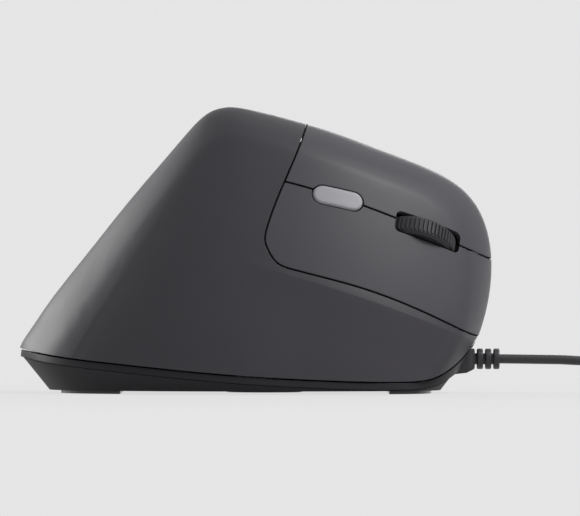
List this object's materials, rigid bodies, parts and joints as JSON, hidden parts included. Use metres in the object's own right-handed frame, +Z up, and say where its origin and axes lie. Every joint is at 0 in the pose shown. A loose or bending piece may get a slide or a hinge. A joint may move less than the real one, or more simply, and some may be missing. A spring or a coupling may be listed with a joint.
{
  "type": "vertical computer mouse",
  "caption": "Upright wired computer mouse for the right hand, with pressing finger buttons, a ribbed wheel, a resolution key, thumb keys and a coiled cord",
  "frame": {"origin": "middle of the mouse's own box, on the desk, without the cord", "axes": "+X forward to the cord, +Y to the thumb side, +Z up"},
  "size_m": [0.2466, 0.078, 0.0727],
  "materials": {
    "shell": "fine matt texture, dark grey",
    "button": "fine matt texture, a little lighter grey",
    "base": "matt black",
    "trim": "satin dark grey",
    "silver_key": "satin silver grey",
    "thumb_key": "satin dark grey",
    "wheel_rubber": "matt rubber with fine ribs",
    "inner_plastic": "plain moulded",
    "light_plastic": "plain moulded, white",
    "steel": "plain machined",
    "circuit_board": "green solder mask",
    "chip": "moulded black",
    "clear_plastic": "clear moulded lens",
    "glide": "slippery polished sheet",
    "cord_jacket": "soft matt jacket",
    "plug_metal": "nickel plated sheet"
  },
  "bodies": {
    "mouse": {"main_shell": "shell", "thumb_shell": "shell", "cradle_pin": "steel", "chassis": "inner_plastic", "button_hinge_pin": "steel", "finger_board": "circuit_board", "primary_switch": "inner_plastic", "secondary_switch": "inner_plastic", "wheel_switch": "inner_plastic", "dpi_switch": "inner_plastic", "dpi_guide": "inner_plastic", "back_switch": "inner_plastic", "forward_switch": "inner_plastic", "rear_foot": "glide", "front_foot": "glide", "sensor_foot": "glide", "base_cover": "base", "trim_strip": "trim", "base_screws": "steel", "main_board": "circuit_board", "board_screws": "steel", "sensor_chip": "chip", "sensor_lens": "clear_plastic", "controller_chip": "chip", "lead_socket": "light_plastic", "strain_relief": "cord_jacket", "cord_coil": "cord_jacket", "cord": "cord_jacket", "inner_lead": "cord_jacket", "coil_tie": "inner_plastic", "plug_overmould": "cord_jacket", "plug_shell": "plug_metal", "plug_tongue": "light_plastic", "thumb_board": "circuit_board", "thumb_screws": "steel"},
    "primary": {"primary_button": "button"},
    "secondary": {"secondary_button": "button"},
    "cradle": {"wheel_cradle": "inner_plastic", "wheel_encoder": "inner_plastic"},
    "wheel": {"wheel_tyre": "wheel_rubber", "wheel_hub": "inner_plastic", "wheel_axle": "inner_plastic"},
    "resolution_key": {"dpi_button": "silver_key"},
    "back_key": {"back_button": "thumb_key"},
    "forward_key": {"forward_button": "thumb_key"},
    "primary_plunger": {"primary_knob": "light_plastic"},
    "secondary_plunger": {"secondary_knob": "light_plastic"},
    "wheel_plunger": {"wheel_knob": "light_plastic"},
    "resolution_plunger": {"dpi_knob": "light_plastic"},
    "back_plunger": {"back_knob": "light_plastic"},
    "forward_plunger": {"forward_knob": "light_plastic"}
  },
  "joints": [
    {"name": "primary_press", "type": "hinge", "parent": "mouse", "child": "primary", "pos_m": [-0.00611, -0.01684, 0.04932], "axis": [0.1366, 0.4717, 0.8711], "range_deg": [0, 0.5], "stiffness_Nm_per_rad": 3, "springref_deg": -0.23},
    {"name": "secondary_press", "type": "hinge", "parent": "mouse", "child": "secondary", "pos_m": [-0.00611, -0.01684, 0.04932], "axis": [0.1366, 0.4717, 0.8711], "range_deg": [0, 0.5], "stiffness_Nm_per_rad": 3, "springref_deg": -0.23},
    {"name": "wheel_press", "type": "hinge", "parent": "mouse", "child": "cradle", "pos_m": [0.02604, -0.01409, 0.04279], "axis": [0.1366, 0.4717, 0.8711], "range_deg": [0, 1], "stiffness_Nm_per_rad": 1.2, "springref_deg": -0.57},
    {"name": "wheel_spin", "type": "hinge", "parent": "cradle", "child": "wheel", "pos_m": [0.03893, -0.00892, 0.03797], "axis": [0.1366, 0.4717, 0.8711], "continuous": true},
    {"name": "resolution_press", "type": "slide", "parent": "mouse", "child": "resolution_key", "axis": [-0.4608, 0.8087, -0.3657], "range_m": [0, 0.0003], "stiffness_N_per_m": 800, "springref_m": -0.0003},
    {"name": "back_press", "type": "slide", "parent": "mouse", "child": "back_key", "axis": [0, -1, 0], "range_m": [0, 0.0004], "stiffness_N_per_m": 800, "springref_m": -0.0003},
    {"name": "forward_press", "type": "slide", "parent": "mouse", "child": "forward_key", "axis": [0, -1, 0], "range_m": [0, 0.0004], "stiffness_N_per_m": 800, "springref_m": -0.0003},
    {"name": "primary_plunge", "type": "slide", "parent": "mouse", "child": "primary_plunger", "axis": [-0.4608, 0.8087, -0.3657], "range_m": [0, 0.00036482]},
    {"name": "secondary_plunge", "type": "slide", "parent": "mouse", "child": "secondary_plunger", "axis": [-0.4608, 0.8087, -0.3657], "range_m": [0, 0.00036482]},
    {"name": "wheel_plunge", "type": "slide", "parent": "mouse", "child": "wheel_plunger", "axis": [-0.4608, 0.8087, -0.3657], "range_m": [0, 0.00033027]},
    {"name": "resolution_plunge", "type": "slide", "parent": "mouse", "child": "resolution_plunger", "axis": [-0.4608, 0.8087, -0.3657], "range_m": [0, 0.00033]},
    {"name": "back_plunge", "type": "slide", "parent": "mouse", "child": "back_plunger", "axis": [0, -1, 0], "range_m": [0, 0.00044]},
    {"name": "forward_plunge", "type": "slide", "parent": "mouse", "child": "forward_plunger", "axis": [0, -1, 0], "range_m": [0, 0.00044]}
  ],
  "couplings": [
    {"joint": "primary_plunge", "follows": "primary_press", "m_per_rad": 0.038},
    {"joint": "secondary_plunge", "follows": "secondary_press", "m_per_rad": 0.038},
    {"joint": "wheel_plunge", "follows": "wheel_press", "m_per_rad": 0.0172},
    {"joint": "resolution_plunge", "follows": "resolution_press", "ratio": 1},
    {"joint": "back_plunge", "follows": "back_press", "ratio": 1},
    {"joint": "forward_plunge", "follows": "forward_press", "ratio": 1}
  ]
}
